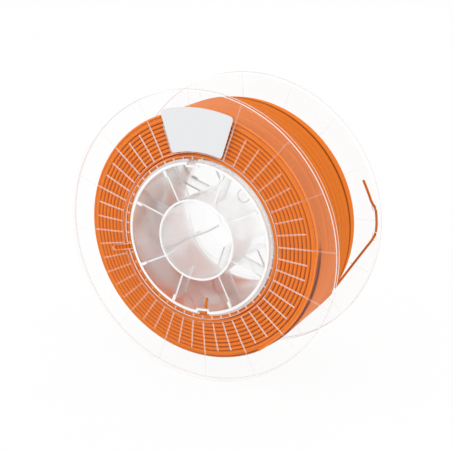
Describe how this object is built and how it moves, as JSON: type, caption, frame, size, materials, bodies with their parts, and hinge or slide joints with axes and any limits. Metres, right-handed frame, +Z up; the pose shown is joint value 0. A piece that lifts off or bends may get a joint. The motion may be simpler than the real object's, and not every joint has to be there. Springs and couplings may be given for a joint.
{
  "type": "filament spool",
  "caption": "Clear plastic spool with ribbed flanges, spoked hub and open bore, full of orange filament, with a blank label and its free end clipped to the rear flange.",
  "frame": {"origin": "centre of the hub bore, halfway between the two rims", "axes": "+Y along the spool's axis from the labelled front flange to the rear flange, +Z up with the label at the top, +X to the right seen from the front"},
  "size_m": [0.2, 0.082, 0.2],
  "materials": {
    "clear_plastic": "clear polished polystyrene",
    "orange_filament": "satin extruded plastic strand",
    "label_paper": "plain white adhesive label"
  },
  "bodies": {
    "root": {"front_flange": "clear_plastic", "front_drum_shell": "clear_plastic", "front_hub_tube": "clear_plastic", "front_spokes": "clear_plastic", "front_snap_tabs": "clear_plastic", "front_web_disc": "clear_plastic", "rear_flange": "clear_plastic", "rear_drum_shell": "clear_plastic", "rear_hub_tube": "clear_plastic", "rear_spokes": "clear_plastic", "rear_snap_tabs": "clear_plastic", "rear_web_disc": "clear_plastic", "winding_core": "orange_filament", "winding_outer_layer": "orange_filament", "filament_start_end": "orange_filament", "filament_tail": "orange_filament", "label": "label_paper"}
  },
  "joints": []
}
